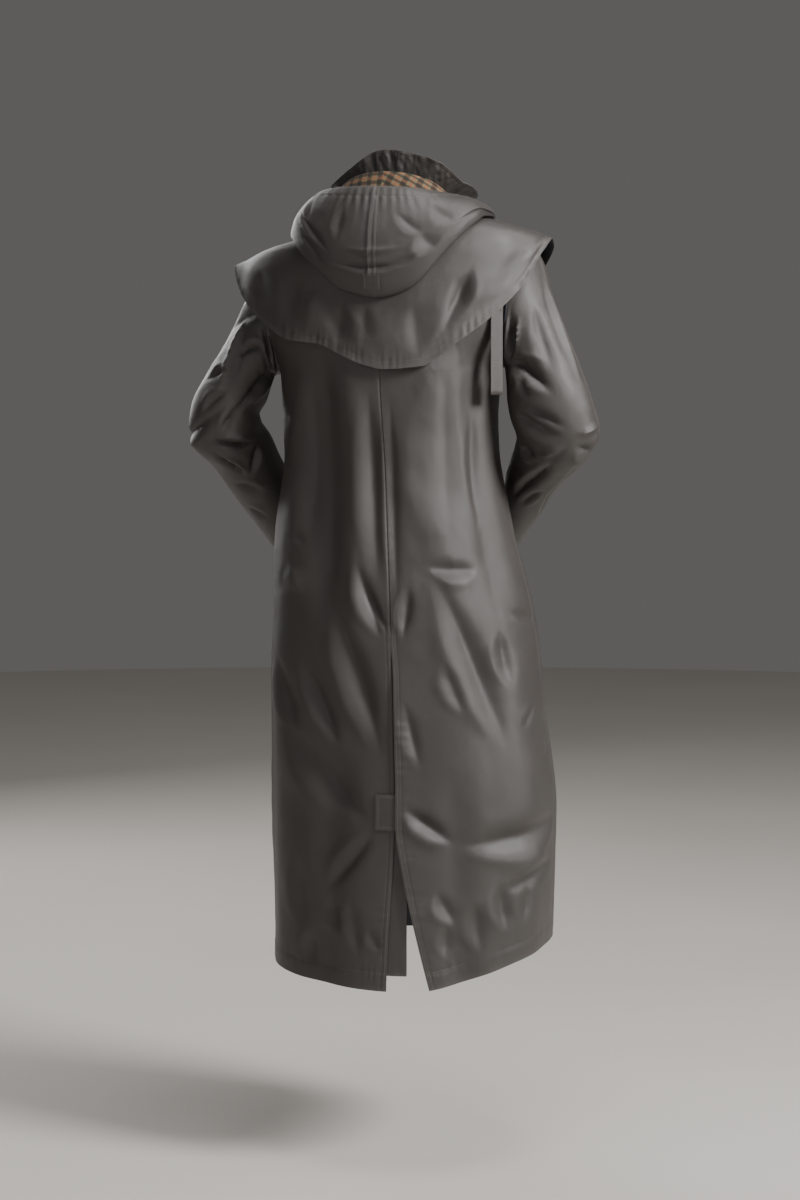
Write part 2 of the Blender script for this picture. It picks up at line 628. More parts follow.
RIGHT_SLEEVE_CREASES = Creases(SLEEVE_GIRTH, SLEEVE_LENGTH, 0.85, (
    (0.271, 0.16, 0.15, 0.31, 10.4, 11.2, 0), (0.283, 0.207, 0.208, 0.303, 5.2, -4.8, 0),
    (0.196, 0.31, 0.317, 0.397, 5.2, -4, 0), (0.146, 0.28, 0.304, 0.48, 10.4, 14.4, 0),
    (0.183, 0.38, 0.196, 0.467, 6.5, 8, 0), (0.154, 0.487, 0.321, 0.54, 5.2, 8, -3),
    (0.092, 0.487, 0.3, 0.557, 10.4, 9.6, 0), (0.183, 0.597, 0.304, 0.567, 5.2, -6.4, 0),
    (0.067, 0.59, 0.192, 0.6, 7.8, 11.2, 0), (0.329, 0.573, 0.458, 0.623, 9.1, 9.6, 0),
    (0.258, 0.59, 0.175, 0.79, 10.4, 9.6, 0), (0.358, 0.62, 0.45, 0.887, 10.4, 8, 0),
    (0.492, 0.17, 0.438, 0.483, 7.8, -4.8, 0), (0.354, 0.23, 0.325, 0.443, 10.4, 4.8, 0),
    (0.333, 0.553, 0.492, 0.557, 5.2, -5.6, 0), (0.233, 0.79, 0.304, 0.72, 7.8, 4.8, 0),
    (0.56, 0.36, 0.9, 0.44, 10.4, 8, 0), (0.58, 0.5, 0.92, 0.55, 9.1, 9.6, 0),
    (0.6, 0.62, 0.9, 0.68, 9.1, 8, 0), (0.62, 0.76, 0.86, 0.8, 9.1, 6.4, 0),
    (0.7, 0.22, 0.64, 0.42, 13, 6.4, 0),
))


def puckers(run: Array, off: Array, seed: int, height: float, reach: float) -> Array:
    """Short ripples across a stitched line.

    Args:
        run: Millimetres along the line.
        off: Millimetres to one side of it.
        seed: The seed of their uneven spacing.
        height: Height of a ripple.
        reach: How far they run out to each side.

    Returns:
        A wave of about 13 mm, uneven by a seeded drift, under a bell across the line.
    """
    uneven = drift(run, off * 0.3, 21, seed)
    wave = np.sin(run * 2 * np.pi / 13 + 4 * uneven) * (0.55 + 0.45 * drift(run, off * 0, 37, seed + 1))
    return height * wave * bell(off / reach)


def seam(off: Array, depth: float, width: float) -> Array:
    """The furrow of a sewn seam or line, a bell below the face."""
    return -depth * bell(off / width)


@dataclass(frozen=True)
class SewnLine:
    """A sewn line in the cloth: its furrow, and the puckers that the thread draws up."""

    dip: float
    width: float
    ripple: float
    reach: float

    def relief(self, run: Array, off: Array, seed: int) -> Array:
        """Furrow and puckers.

        Args:
            run: Millimetres along the line.
            off: Millimetres to one side of it.
            seed: The seed of the puckers.

        Returns:
            Millimetres of relief.
        """
        return puckers(run, off, seed, self.ripple, self.reach) + seam(off, self.dip, self.width)


HEM_LINE, CUFF_LINE = SewnLine(0.5, 1.5, 0.6, 10), SewnLine(0.5, 1.5, 0.5, 8)
VENT_LINE, ARMHOLE_LINE = SewnLine(0.4, 1.4, 0.75, 11), SewnLine(1.0, 2.2, 0.9, 16)
CAPE_LINE, COLLAR_LINE = SewnLine(0.45, 1.4, 0.7, 9), SewnLine(0.45, 1.4, 0.4, 7)
SIDE_SEAM, CENTRE_SEAM = SewnLine(0.9, 1.7, 0.45, 10), SewnLine(1.1, 1.7, 0.5, 9)
SLEEVE_SEAM = SewnLine(0.9, 1.7, 0.4, 9)
VENT_LINE_OFF, COLLAR_LINE_OFF = 8.0, 7.0


def rumple(p: Array, q: Array, seed: int) -> Array:
    """The unevenness of worn cloth: three sizes of seeded drift."""
    broad, middle = 1.3 * drift(p, q * 0.55, 62, seed), 0.6 * drift(p, q, 27, seed + 1)
    return broad + middle + 0.22 * drift(p, q, 12, seed + 2)


def vent_puckers(gap: Array, z: Array, seed: int) -> Array:
    """The sewn line inside a vent edge, below the vent's top."""
    return smooth((VENT_TOP + 60 - z) / 40) * VENT_LINE.relief(z, gap - VENT_LINE_OFF, seed)


def body_relief(angle: Array, row: Array) -> Array:
    """All fine relief of the coat's body at an angle and row, in millimetres.

    Args:
        angle: Degrees from the centre back toward the wearer's left.
        row: Place among the coat's sections.

    Returns:
        Millimetres of relief.
    """
    z = section_point(BODY, angle, row)[..., 2]
    girth = angle * DEGREE_MM
    below_cape = smooth((-215 - z) / 50)
    folds = BACK_CREASES.relief(angle, z) + FRONT_CREASES.relief(angle, z)
    share = np.clip((row - UNDERARM) / (SHOULDER - UNDERARM), 0, 1)
    aside = np.maximum(np.abs(np.abs(angle) - 90) - ARMHOLE_FRONT * 2 * np.sqrt(share * (1 - share)), 0)
    below = np.maximum(UNDERARM - row, 0) * UNDERARM_ROW_MM
    calm = smooth(np.hypot(aside * SIDE_DEGREE_MM, below) / CALM)
    relief = below_cape * calm * (folds + 0.6 * rumple(girth, z, 11))
    rise = z - section_point(BODY, angle, np.zeros_like(row))[..., 2]
    relief = relief + HEM_LINE.relief(girth, rise - HEM_DEPTH, 21) + HEM_STEP * smooth((HEM_DEPTH - rise) / 2)
    for side in (-90.0, 90.0):
        off = (angle - side) * SIDE_DEGREE_MM
        ripples = puckers(z, off, 131 + int(side), SIDE_SEAM.ripple, SIDE_SEAM.reach)
        relief = relief + seam(off, SIDE_SEAM.dip, SIDE_SEAM.width) + ripples * below_cape
    return relief


def vented(edge: Callable[[Array], Array], facing: int, seed: int) -> Relief:
    """The relief of a back panel: the coat's, with the centre seam and the vent edge.

    Args:
        edge: The angle of the panel's vent edge by height.
        facing: 1 where the panel lies on the far side of its edge in angle, -1 on the near side.
        seed: The seed of the vent's puckers.

    Returns:
        Millimetres of relief by angle and row.
    """
    def relief(angle: Array, row: Array) -> Array:
        """The coat's relief, the centre seam above the vent's top and the vent's line below.

        Args:
            angle: Degrees from the centre back toward the wearer's left.
            row: Place among the coat's sections.

        Returns:
            Millimetres of relief.
        """
        z = section_point(BODY, angle, row)[..., 2]
        gap = facing * (angle - edge(z)) * DEGREE_MM
        centre = smooth((z - VENT_TOP) / 20) * CENTRE_SEAM.relief(z, gap, 41)
        return body_relief(angle, row) + centre + vent_puckers(gap, z, seed)

    return relief


def sleeve_relief(creases: Creases, seed: int) -> Relief:
    """The relief of a sleeve, which closes on itself round the arm.

    Args:
        creases: Its table.
        seed: The seed of its unevenness.

    Returns:
        Millimetres of relief by turn and share of the way to the cuff.
    """
    def relief(around: Array, along: Array) -> Array:
        """Creases, unevenness, the armhole's puckers and the cuff's hem.

        Args:
            around: Share of the turn round the arm.
            along: Share of the way along the piece.

        Returns:
            Millimetres of relief.
        """
        run = along * SLEEVE_LENGTH
        turn = 2 * np.pi * around
        p, q = SLEEVE_RADIUS * np.cos(turn) + 200, SLEEVE_RADIUS * np.sin(turn) + run
        total = rumple(p, q, seed) * smooth(run / 60)
        total = total + creases.relief(around % 1.0, along)
        left = SLEEVE_LENGTH - run
        total = total + ARMHOLE_LINE.relief(around * SLEEVE_GIRTH, run, seed + 5)
        for line in (0.0, 0.5, 1.0):
            total = total + SLEEVE_SEAM.relief(run, (around - line) * SLEEVE_GIRTH, seed + 7)
        return total + CUFF_LINE.relief(around * WRIST_GIRTH, left - CUFF_DEPTH, seed + 6)

    return relief


def cape_relief(angle: Array, along: Array) -> Array:
    """The cape's relief: soft cones toward the hem, the hem's own line and puckers.

    Args:
        angle: Degrees from the centre back toward the wearer's left.
        along: Share of the way along the piece.

    Returns:
        Millimetres of relief.
    """
    run = along * CAPE_LENGTH
    left = CAPE_LENGTH - run
    shown = smooth((along - 0.45) / 0.3)
    relief = CAPE_CREASES.relief(angle, along) + rumple(angle * CAPE_GIRTH, run, 51)
    line = CAPE_LINE.relief(angle * CAPE_HEM_DEGREE_MM, left - CAPE_HEM_DEPTH, 52)
    return relief * shown + line + CAPE_HEM_STEP * smooth((CAPE_HEM_DEPTH - left) / 2)


def hood_relief(angle: Array, along: Array) -> Array:
    """The hood's relief: creases, gathers that fan out of the casing, the sewn casing, the centre.

    Args:
        angle: Degrees from the centre back toward the wearer's left.
        along: Share of the way along the piece.

    Returns:
        Millimetres of relief.
    """
    run = along * HOOD_LENGTH
    left = HOOD_LENGTH - run
    outer = smooth((along - HOOD_FOOT - 0.02) / 0.06)
    girth = angle * HOOD_GIRTH
    creases = HOOD_CREASES.relief(angle, along) + 0.6 * rumple(girth, run, 61)
    fan = np.sin(girth * 2 * np.pi / 15 + 3 * drift(girth, left * 0.4, 30, 62))
    depth = smooth((left - CASING_DEPTH + 6) / 10) * np.exp(-np.maximum(left - CASING_DEPTH, 0) / 26)
    gathers = (0.9 + 0.5 * drift(girth, left * 0, 44, 63)) * fan * depth * bell(angle / 62)
    casing = seam(left - CASING_DEPTH, 0.7, 1.8) + 0.35 * fan * bell((left - CASING_DEPTH / 2) / 9)
    return outer * (creases + gathers + casing + seam(girth, 0.6, 1.7))


def raised(surface: Surface, relief: Relief, step_a: float, step_b: float) -> Surface:
    """A surface with relief: each point moved along the plain surface's normal.

    Args:
        surface: The plain surface.
        relief: Millimetres of relief.
        step_a: Probe along the first parameter.
        step_b: Probe along the second.

    Returns:
        The new surface.
    """
    def face(a: Array, b: Array) -> Array:
        """A point with its relief."""
        return surface(a, b) + normals_of(surface, a, b, step_a, step_b) * relief(a, b)[..., None]

    return face


def grid_normals(points: Array, facing: int) -> Array:
    """Unit normals of a grid: the cross product of its courses along columns and rows.

    Args:
        points: Rows by columns by 3.
        facing: 1 or -1, to pick the side.

    Returns:
        Unit vectors.
    """
    normal = np.cross(np.gradient(points, axis=1), np.gradient(points, axis=0)) * facing
    return normal / np.maximum(np.linalg.norm(normal, axis=-1, keepdims=True), 1e-9)


def courses(points: Array) -> tuple[Array, Array]:
    """Millimetres run from the first column and from the first row, to every point of a grid.

    Args:
        points: Rows by columns by 3.

    Returns:
        Both distances.
    """
    across = np.linalg.norm(np.diff(points, axis=1), axis=-1)
    down = np.linalg.norm(np.diff(points, axis=0), axis=-1)
    along_row = np.concatenate([np.zeros((len(points), 1)), np.cumsum(across, axis=1)], axis=1)
    along_column = np.concatenate([np.zeros((1, points.shape[1])), np.cumsum(down, axis=0)])
    return along_row, along_column


def shell_quads(rows: int, columns: int) -> Array:
    """Corners of a closed wall's quads: outer skin, inner skin and rims.

    Args:
        rows: Rows of the grid.
        columns: Columns of the grid.

    Returns:
        Quads by 4 corners by layer, row and column.
    """
    last, end = rows - 1, columns - 1
    j, i = (x.ravel() for x in np.meshgrid(np.arange(last), np.arange(end), indexing="ij"))
    k, m = np.arange(end), np.arange(last)

    def quads(corners: Sequence[tuple[int, Array, Array]]) -> Array:
        """Four corners as one block."""
        parts = [np.stack(np.broadcast_arrays(*corner), axis=-1) for corner in corners]
        return np.stack(parts, axis=1)

    blocks = [
        quads([(0, j, i), (0, j, i + 1), (0, j + 1, i + 1), (0, j + 1, i)]),
        quads([(1, j, i), (1, j + 1, i), (1, j + 1, i + 1), (1, j, i + 1)]),
        quads([(0, 0, k), (1, 0, k), (1, 0, k + 1), (0, 0, k + 1)]),
        quads([(0, last, k), (0, last, k + 1), (1, last, k + 1), (1, last, k)]),
        quads([(0, m, 0), (0, m + 1, 0), (1, m + 1, 0), (1, m, 0)]),
        quads([(0, m, end), (1, m, end), (1, m + 1, end), (0, m + 1, end)]),
    ]
    return np.concatenate(blocks)


def new_object(name: str, mesh: bpy.types.Mesh, finishes: Sequence[bpy.types.Material]) -> bpy.types.Object:
    """An object of a mesh, dressed and put in the scene.

    Args:
        name: The piece's name.
        mesh: Its mesh, in metres, in place.
        finishes: Its materials, in slot order.

    Returns:
        The object.
    """
    for finish in finishes:
        mesh.materials.append(finish)
    piece = bpy.data.objects.new(name, mesh)
    bpy.context.scene.collection.objects.link(piece)
    return piece


@dataclass
class Cloth:
    """One cut piece of cloth, as a closed wall on a grid of a surface's parameters."""

    name: str
    surface: Surface
    a: Array
    b: Array
    facing: int
    wall: float = CLOTH
    lift: float = 0.0
    bias: float = 0.0

    def build(self, finishes: Sequence[bpy.types.Material]) -> bpy.types.Object:
        """Makes the piece: outer points, inner points a wall further in along the normals, rims.

        Args:
            finishes: The outer face's material and the inner face's.

        Returns:
            The object, with a map in metres along its own threads.
        """
        face = self.surface(self.a, self.b)
        normal = grid_normals(face, self.facing)
        outer = face + normal * self.lift
        points = np.concatenate([outer, outer - normal * self.wall]).reshape(-1, 3)
        rows, columns = face.shape[:2]
        corners = shell_quads(rows, columns)
        layer, row, column = corners[..., 0], corners[..., 1], corners[..., 2]
        index = (layer * rows + row) * columns + column
        tri = points[index[:, :3]]
        volume = np.einsum("ij,ij->i", tri[:, 0], np.cross(tri[:, 1], tri[:, 2])).sum()
        order = np.array([0, 1, 2, 3]) if volume > 0 else np.array([0, 3, 2, 1])
        index, row, column = index[:, order], row[:, order], column[:, order]
        mesh = bpy.data.meshes.new(self.name)
        mesh.from_pydata(points * MM, [], index.tolist())
        skin = np.zeros(len(index), dtype=np.int32)
        skins = (rows - 1) * (columns - 1)
        skin[skins:2 * skins] = 1
        mesh.polygons.foreach_set("material_index", skin)
        mesh.polygons.foreach_set("use_smooth", np.ones(len(index), dtype=bool))
        self._map(mesh, face, row, column)
        self._edges(mesh, face)
        mesh.update()
        mesh.set_sharp_from_angle(angle=math.radians(SHARP))
        return new_object(f"{self.name}_cloth", mesh, finishes)

    def _map(self, mesh: bpy.types.Mesh, face: Array, row: Array, column: Array) -> None:
        """Lays the map: metres from the first column and row, turned by the bias.

        Args:
            mesh: The piece's mesh.
            face: Its outer points.
            row: Row of each quad's corners.
            column: Column of each quad's corners.
        """
        across, down = courses(face)
        u, v = across[row, column] * MM, down[row, column] * MM
        cos, sin = math.cos(math.radians(self.bias)), math.sin(math.radians(self.bias))
        flat = np.stack([u * cos - v * sin, u * sin + v * cos], axis=-1)
        mesh.uv_layers.new(name="threads").data.foreach_set("uv", flat.ravel().astype(np.float32))

    def _edges(self, mesh: bpy.types.Mesh, face: Array) -> None:
        """Notes each point's nearness to the piece's edges, 1 at an edge and 0 past their reach.

        Args:
            mesh: The piece's mesh.
            face: Its outer points.
        """
        across, down = courses(face)
        near = np.minimum(np.minimum(down, down[-1:] - down), np.minimum(across, across[:, -1:] - across))
        value = np.tile((1 - smooth(near / EDGE_REACH)).ravel(), 2)
        mesh.attributes.new("edge", "FLOAT", "POINT").data.foreach_set("value", value.astype(np.float32))


@dataclass
class Stitching:
    """All stitch rows of the coat, gathered into one piece of thread."""

    length: float = 2.7
    pitch: float = 3.6
    radius: float = 0.34
    proud: float = 0.12
    points: list[Array] = field(default_factory=list)

    def row(self, path: Array, normal: Array) -> None:
        """Adds a row of stitches along a path.

        Each stitch is a slim spindle of five sides: rings at -1/4, 0 and 1/4 of its length and a
        point at each end, sunk at the ends.

        Args:
            path: Points in millimetres.
            normal: Unit vectors out of the cloth there.
        """
        run = np.concatenate([[0], np.cumsum(np.linalg.norm(np.diff(path, axis=0), axis=1))])
        centres = np.arange(self.pitch / 2, run[-1], self.pitch)
        place = np.stack([np.interp(centres, run, path[:, k]) for k in range(3)], axis=1)
        ahead = np.stack([np.interp(centres + 0.5, run, path[:, k]) for k in range(3)], axis=1)
        up = np.stack([np.interp(centres, run, normal[:, k]) for k in range(3)], axis=1)
        course = ahead - place
        course /= np.maximum(np.linalg.norm(course, axis=1, keepdims=True), 1e-9)
        side = np.cross(up, course)
        turn = np.linspace(0, 2 * np.pi, 5, endpoint=False)
        shape = [(-0.5, 0, -0.2)]
        for share, size in ((-0.25, 0.9), (0.0, 1.0), (0.25, 0.9)):
            shape += [(share, size * math.cos(t), size * math.sin(t) + 0.25) for t in turn]
        form = np.array([*shape, (0.5, 0, -0.2)])
        local = form[:, :3] * (self.length, self.radius, self.radius)
        frame = np.stack([course, side, up], axis=1)
        self.points.append(place[:, None] + np.einsum("pk,nkx->npx", local, frame))

    def along(self, surface: Surface, a: Array, b: Array, steps: tuple[float, float],
              lift: float = 0.0) -> None:
        """Adds a row that follows a surface.

        Args:
            surface: The surface.
            a: Its first parameter along the row.
            b: Its second parameter along the row.
            steps: The probes for its normals.
            lift: How far the cloth's face stands off it.
        """
        normal = normals_of(surface, a, b, *steps)
        self.row(surface(a, b) + normal * (lift + self.proud), normal)

    def build(self, finish: bpy.types.Material) -> bpy.types.Object:
        """Makes the thread as one piece.

        Args:
            finish: The thread's material.

        Returns:
            The object.
        """
        points = np.concatenate(self.points)
        faces = []
        for k in range(5):
            n = (k + 1) % 5
            faces += [(0, 1 + n, 1 + k), (16, 11 + k, 11 + n)]
            faces += [(1 + s + k, 1 + s + n, 6 + s + n) for s in (0, 5)]
            faces += [(1 + s + k, 6 + s + n, 6 + s + k) for s in (0, 5)]
        block = np.array(faces)[None] + np.arange(len(points))[:, None, None] * 17
        mesh = bpy.data.meshes.new("topstitching")
        mesh.from_pydata(points.reshape(-1, 3) * MM, [], block.reshape(-1, 3).tolist())
        mesh.polygons.foreach_set("use_smooth", np.ones(len(mesh.polygons), dtype=bool))
        mesh.update()
        return new_object("topstitching", mesh, [finish])


class Number:
    """A shader number that takes plain arithmetic: each operation adds a Math node."""

    def __init__(self, desk: "Desk", source: bpy.types.NodeSocket | float) -> None:
        """Wraps a socket or a number."""
        self.desk, self.source = desk, source

    def math(self, operation: str, *others: "Number | float") -> "Number":
        """A Math node of this number and others.

        Args:
            operation: The node's operation.
            others: Its other inputs.

        Returns:
            Its output.
        """
        values = [self.source] + [o.source if isinstance(o, Number) else o for o in others]
        node = self.desk.node("ShaderNodeMath", {"operation": operation}, dict(enumerate(values)))
        return Number(self.desk, node.outputs[0])

    def __add__(self, other: "Number | float") -> "Number":
        """Sum."""
        return self.math("ADD", other)

    __radd__ = __add__

    def __mul__(self, other: "Number | float") -> "Number":
        """Product."""
        return self.math("MULTIPLY", other)

    __rmul__ = __mul__

    def __sub__(self, other: "Number | float") -> "Number":
        """Difference."""
        return self.math("SUBTRACT", other)

    def __rsub__(self, other: float) -> "Number":
        """Difference from a plain number."""
        return Number(self.desk, other).math("SUBTRACT", self)

    def __truediv__(self, other: "Number | float") -> "Number":
        """Quotient."""
        return self.math("DIVIDE", other)

    def clamp(self) -> "Number":
        """The number held between 0 and 1."""
        return self.math("MAXIMUM", 0.0).math("MINIMUM", 1.0)

    def line(self, period: float, centre: float, half: float, soft: float) -> "Number":
        """A mask of repeated lines: 1 within half of every centre, fading over soft."""
        away = (self / period + (0.5 - centre)).math("FRACT").math("SUBTRACT", 0.5).math("ABSOLUTE") * period
        return ((half - away) / soft + 0.5).clamp()


class Desk:
    """The node tree of one finish."""

    def __init__(self, name: str) -> None:
        """Starts a material with a plain shader.

        Args:
            name: Its name.
        """
        self.material = bpy.data.materials.new(name)
        self.material.use_nodes = True
        self.tree = self.material.node_tree
        self.shader = self.tree.nodes["Principled BSDF"]

    def node(self, kind: str, settings: dict, inputs: dict) -> bpy.types.Node:
        """Adds a node.

        Args:
            kind: The node's type.
            settings: Its own settings, set first.
            inputs: Values or links, by socket name or number.

        Returns:
            The node.
        """
        node = self.tree.nodes.new(kind)
        for key, value in settings.items():
            setattr(node, key, value)
        for key, value in inputs.items():
            value = value.source if isinstance(value, Number) else value
            if isinstance(value, bpy.types.NodeSocket):
                self.tree.links.new(value, node.inputs[key])
            else:
                node.inputs[key].default_value = value
        return node

    def noise(self, size: float, detail: float = 2.0, stretch: tuple = (1, 1, 1)) -> Number:
        """Noise on Object coordinates, with cells of a size in metres, stretched along the axes.

        Args:
            size: Size of a cell in metres.
            detail: How many finer layers.
            stretch: Scale along each axis.

        Returns:
            The noise, from 0 to 1.
        """
        place = self.node("ShaderNodeTexCoord", {}, {}).outputs["Object"]
        place = self.node("ShaderNodeMapping", {}, {"Vector": place, "Scale": stretch}).outputs[0]
        node = self.node("ShaderNodeTexNoise", {}, {"Vector": place, "Scale": 1 / size, "Detail": detail})
        return Number(self, node.outputs[0])

    def threads(self) -> tuple[Number, Number]:
        """The piece's own map: metres along its two thread directions.

        Returns:
            Both distances.
        """
        source = self.node("ShaderNodeUVMap", {"uv_map": "threads"}, {}).outputs[0]
        parts = self.node("ShaderNodeSeparateXYZ", {}, {0: source})
        return Number(self, parts.outputs[0]), Number(self, parts.outputs[1])

    def edge(self) -> Number:
        """Nearness to the piece's edges."""
        return Number(self, self.node("ShaderNodeAttribute", {"attribute_name": "edge"}, {}).outputs["Fac"])

    def mix(self, share: Number, first: tuple | bpy.types.NodeSocket,
            second: tuple | bpy.types.NodeSocket) -> bpy.types.NodeSocket:
        """A colour between two, by a share.

        Args:
            share: 0 for the first, 1 for the second.
            first: A colour or a socket.
            second: A colour or a socket.

        Returns:
            The colour.
        """
        first = (*first, 1) if isinstance(first, tuple) else first
        second = (*second, 1) if isinstance(second, tuple) else second
        node = self.node("ShaderNodeMix", {"data_type": "RGBA"}, {0: share, 6: first, 7: second})
        return node.outputs[2]

    def dress(self, colour: bpy.types.NodeSocket, roughness: Number, relief: Number | None = None,
              depth: float = 0.0005, **fixed: float) -> bpy.types.Material:
        """Joins colour, roughness and relief to the shader and sets its fixed values.

        Args:
            colour: Base colour.
            roughness: Roughness.
            relief: Height from 0 to 1, for the surface's bump.
            depth: Metres of that height.
            fixed: Other shader inputs, with _ for a blank.

        Returns:
            The material.
        """
        self.tree.links.new(colour, self.shader.inputs["Base Color"])
        self.tree.links.new(roughness.source, self.shader.inputs["Roughness"])
        if relief is not None:
            bump = self.node("ShaderNodeBump", {}, {"Height": relief, "Distance": depth, "Strength": 1.0})
            self.tree.links.new(bump.outputs[0], self.shader.inputs["Normal"])
        for name, value in fixed.items():
            self.shader.inputs[name.replace("_", " ")].default_value = value
        return self.material


@dataclass(frozen=True)
class CoatedCloth:
    """Fine cotton with a satin waterproof coating: mottled, softly creased, rubbed at its edges."""

    name: str = "coated_cloth"
    face: tuple = (0.05, 0.044, 0.04)
    shade: tuple = (0.04, 0.035, 0.032)
    rubbed: tuple = (0.085, 0.075, 0.068)
    roughness: float = 0.46
    thread: float = 0.0009

    def make(self) -> bpy.types.Material:
        """Mixes two tones by a slow noise and a third at the edges; weave and wrinkles are bump.

        Returns:
            The material.
        """
        desk = Desk(self.name)
        u, v = desk.threads()
        slow, fine = desk.noise(0.11, 4), desk.noise(0.004, 3)
        wrinkle = desk.noise(0.022, 3, (1.0, 1.0, 0.45))
        step = 2 * math.pi / self.thread
        weave = (u * step).math("SINE") * (v * step).math("SINE")
        colour = desk.mix(((slow - 0.3) * 2.2).clamp(), self.shade, self.face)
        colour = desk.mix((weave * 0.08 + fine * 0.12).clamp(), colour, self.rubbed)
        colour = desk.mix((desk.edge() * slow * 0.8).clamp(), colour, self.rubbed)
        rough = slow * 0.12 + fine * 0.1 + desk.edge() * 0.06 + (self.roughness - 0.1)
        relief = wrinkle * 0.5 + fine * 0.1 + weave * 0.05
        return desk.dress(colour, rough, relief, 0.0013, Specular_IOR_Level=0.55, Coat_Weight=0.06,
                          Coat_Roughness=0.3)


@dataclass(frozen=True)
class InnerCoating:
    """The navy inner face of the cloth, matt, with the weave grinning through."""

    name: str = "inner_coating"
    low: tuple = (0.0105, 0.0115, 0.0165)
    high: tuple = (0.02, 0.022, 0.031)
    roughness: float = 0.58

    def make(self) -> bpy.types.Material:
        """Mixes two navy tones by noise and by the weave.

        Returns:
            The material.
        """
        desk = Desk(self.name)
        u, v = desk.threads()
        slow = desk.noise(0.05, 3)
        weave = (u * 6000).math("SINE") * (v * 6000).math("SINE")
        colour = desk.mix((slow * 0.8 + weave * 0.1 + desk.edge() * 0.3).clamp(), self.low, self.high)
        return desk.dress(colour, slow * 0.15 + (self.roughness - 0.07), slow + weave * 0.1, 0.0004)


@dataclass(frozen=True)
class CountryCheck:
    """The hood's brushed lining: a plain country check of dark and russet lines on a beige twill."""

    name: str = "check_lining"
    ground: tuple = (0.19, 0.155, 0.095)
    olive: tuple = (0.095, 0.088, 0.052)
    dark: tuple = (0.021, 0.017, 0.014)
    russet: tuple = (0.27, 0.07, 0.03)
    repeat: float = 0.0165

    def make(self) -> bpy.types.Material:
        """Lays lines of both thread directions over a speckled ground, broken up by the twill.

        Returns:
            The material.
        """
        desk = Desk(self.name)
        u, v = desk.threads()
        wobble = (desk.noise(0.006, 2) - 0.5) * 0.0012
        u, v = u + wobble, v + wobble
        twill = ((u + v) * (2 * math.pi / 0.0016)).math("SINE") * 0.5 + 0.5
        fluff = desk.noise(0.0016, 3)
        colour = desk.mix((fluff * 0.7 + twill * 0.3).clamp(), self.olive, self.ground)
        for thread, lean in ((u, twill), (v, 1 - twill)):
            band = thread.line(self.repeat, 0.25, 0.0034, 0.0009) * (lean * 0.45 + 0.5)
            colour = desk.mix(band.clamp(), colour, self.dark)
            stripe = thread.line(self.repeat, 0.75, 0.0013, 0.0006) * (lean * 0.45 + 0.3)
            colour = desk.mix(stripe.clamp(), colour, self.russet)
        return desk.dress(colour, fluff * 0.1 + 0.86, fluff * 0.6 + twill * 0.4, 0.0006,
                          Specular_IOR_Level=0.2, Sheen_Weight=0.06)


@dataclass(frozen=True)
class Thread:
    """Sewing thread a tone off the cloth."""

    name: str = "sewing_thread"
    low: tuple = (0.085, 0.075, 0.068)
    high: tuple = (0.21, 0.185, 0.165)

    def make(self) -> bpy.types.Material:
        """Mixes two tones by a fine noise.

        Returns:
            The material.
        """
        desk = Desk(self.name)
        twist = desk.noise(0.0012, 2)
        return desk.dress(desk.mix(twist, self.low, self.high), twist * 0.2 + 0.45, twist, 0.0002)


@dataclass(frozen=True)
class PlatedMetal:
    """Dull plated metal of the press studs, worn brighter at random."""

    name: str = "press_stud"
    low: tuple = (0.09, 0.078, 0.062)
    high: tuple = (0.3, 0.27, 0.22)

    def make(self) -> bpy.types.Material:
        """Mixes two tones and two degrees of polish by noise.

        Returns:
            The material.
        """
        desk = Desk(self.name)
        wear, fine = desk.noise(0.004, 4), desk.noise(0.0006, 2)
        colour = desk.mix(((wear - 0.35) * 2).clamp(), self.low, self.high)
        return desk.dress(colour, fine * 0.2 + 0.22 + wear * 0.12, fine, 0.00012, Metallic=0.9)


@dataclass(frozen=True)
class PaleFloor:
    """A plain pale floor."""

    name: str = "pale_floor"
    low: tuple = (0.5, 0.47, 0.43)
    high: tuple = (0.56, 0.53, 0.49)

    def make(self) -> bpy.types.Material:
        """Mixes two close tones by a slow noise.

        Returns:
            The material.
        """
        desk = Desk(self.name)
        slow = desk.noise(0.6, 3)
        return desk.dress(desk.mix(slow, self.low, self.high), slow * 0.1 + 0.7, slow, 0.0004)


class Finish(Enum):
    """The finishes of the coat and its ground."""

    CLOTH = CoatedCloth()
    INNER = InnerCoating()
    CHECK = CountryCheck()
    THREAD = Thread()
    METAL = PlatedMetal()
    FLOOR = PaleFloor()


class Wardrobe:
    """The materials, each made once."""

    def __init__(self) -> None:
        """Makes every finish."""
        self.made = {finish: finish.value.make() for finish in Finish}

    def pair(self, outer: Finish = Finish.CLOTH, inner: Finish = Finish.INNER) -> list[bpy.types.Material]:
        """The materials of a piece's two faces."""
        return [self.made[outer], self.made[inner]]


def spaced(start: Array | float, end: Array | float, rows: Array, columns: int,
           crowd: float) -> tuple[Array, Array]:
    """A piece's grid of parameters, closer together near both of its sides.

    Args:
        start: First value of the rows.
        end: Last value of the rows.
        rows: The second parameter of each row.
        columns: How many values in a row.
        crowd: Share by which the steps shrink at the ends.

    Returns:
        Both parameters, rows by columns: the first is t less crowd times sin(2 pi t) / 2 pi, from
        start to end.
    """
    t = np.linspace(0, 1, columns)
    t = t - crowd * np.sin(2 * np.pi * t) / (2 * np.pi)
    first, last = (np.asarray(side) + 0 * rows for side in (start, end))
    a = first[:, None] * (1 - t) + last[:, None] * t
    return a, np.broadcast_to(rows[:, None], a.shape)


def settle(piece: bpy.types.Object, node: str) -> None:
    """Lets a piece ride on the coat, stand for its node and take its slot.

    Args:
        piece: The piece.
        node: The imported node.
    """
    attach(piece, "root")
    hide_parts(node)


